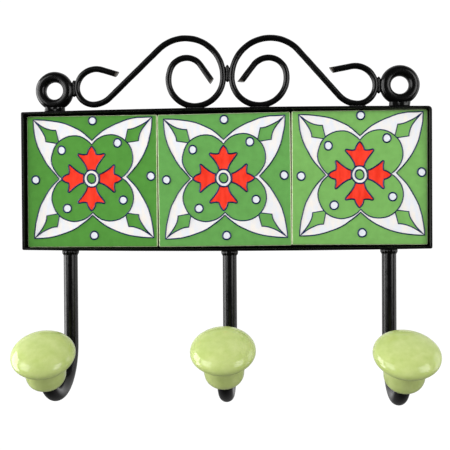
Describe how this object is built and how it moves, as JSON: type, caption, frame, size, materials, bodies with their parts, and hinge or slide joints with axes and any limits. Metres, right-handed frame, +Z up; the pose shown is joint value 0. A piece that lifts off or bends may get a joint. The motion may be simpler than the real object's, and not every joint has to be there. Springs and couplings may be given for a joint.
{
  "type": "wall hook rack",
  "caption": "Wall rack of a black iron band that holds glazed tiles, with scrollwork and hanging eyes on top and rod hooks with round ceramic knobs below.",
  "frame": {"origin": "centre of the back plate's rear face, on the wall", "axes": "+X to the right along the rack seen from the front, +Z up, front towards -Y"},
  "size_m": [0.23, 0.0741, 0.2025],
  "materials": {
    "black_iron": "satin black paint on mild steel rod and strip",
    "tile": "gloss painted glaze on a cream earthenware body",
    "knob_glaze": "gloss yellow-green glaze",
    "tile_adhesive": "set cement adhesive",
    "epoxy": "set epoxy"
  },
  "bodies": {
    "root": {"band": "black_iron", "back_plate": "black_iron", "adhesive_left": "tile_adhesive", "tile_left": "tile", "adhesive_centre": "tile_adhesive", "tile_centre": "tile", "adhesive_right": "tile_adhesive", "tile_right": "tile", "hook_left": "black_iron", "hook_weld_left": "black_iron", "knob_left": "knob_glaze", "knob_glue_left": "epoxy", "hook_centre": "black_iron", "hook_weld_centre": "black_iron", "knob_centre": "knob_glaze", "knob_glue_centre": "epoxy", "hook_right": "black_iron", "hook_weld_right": "black_iron", "knob_right": "knob_glaze", "knob_glue_right": "epoxy", "eye_left": "black_iron", "scroll_left": "black_iron", "eye_weld_left": "black_iron", "scroll_weld_left": "black_iron", "eye_scroll_weld_left": "black_iron", "eye_right": "black_iron", "scroll_right": "black_iron", "eye_weld_right": "black_iron", "scroll_weld_right": "black_iron", "eye_scroll_weld_right": "black_iron", "small_curl_weld": "black_iron", "meeting_weld": "black_iron"}
  },
  "joints": []
}
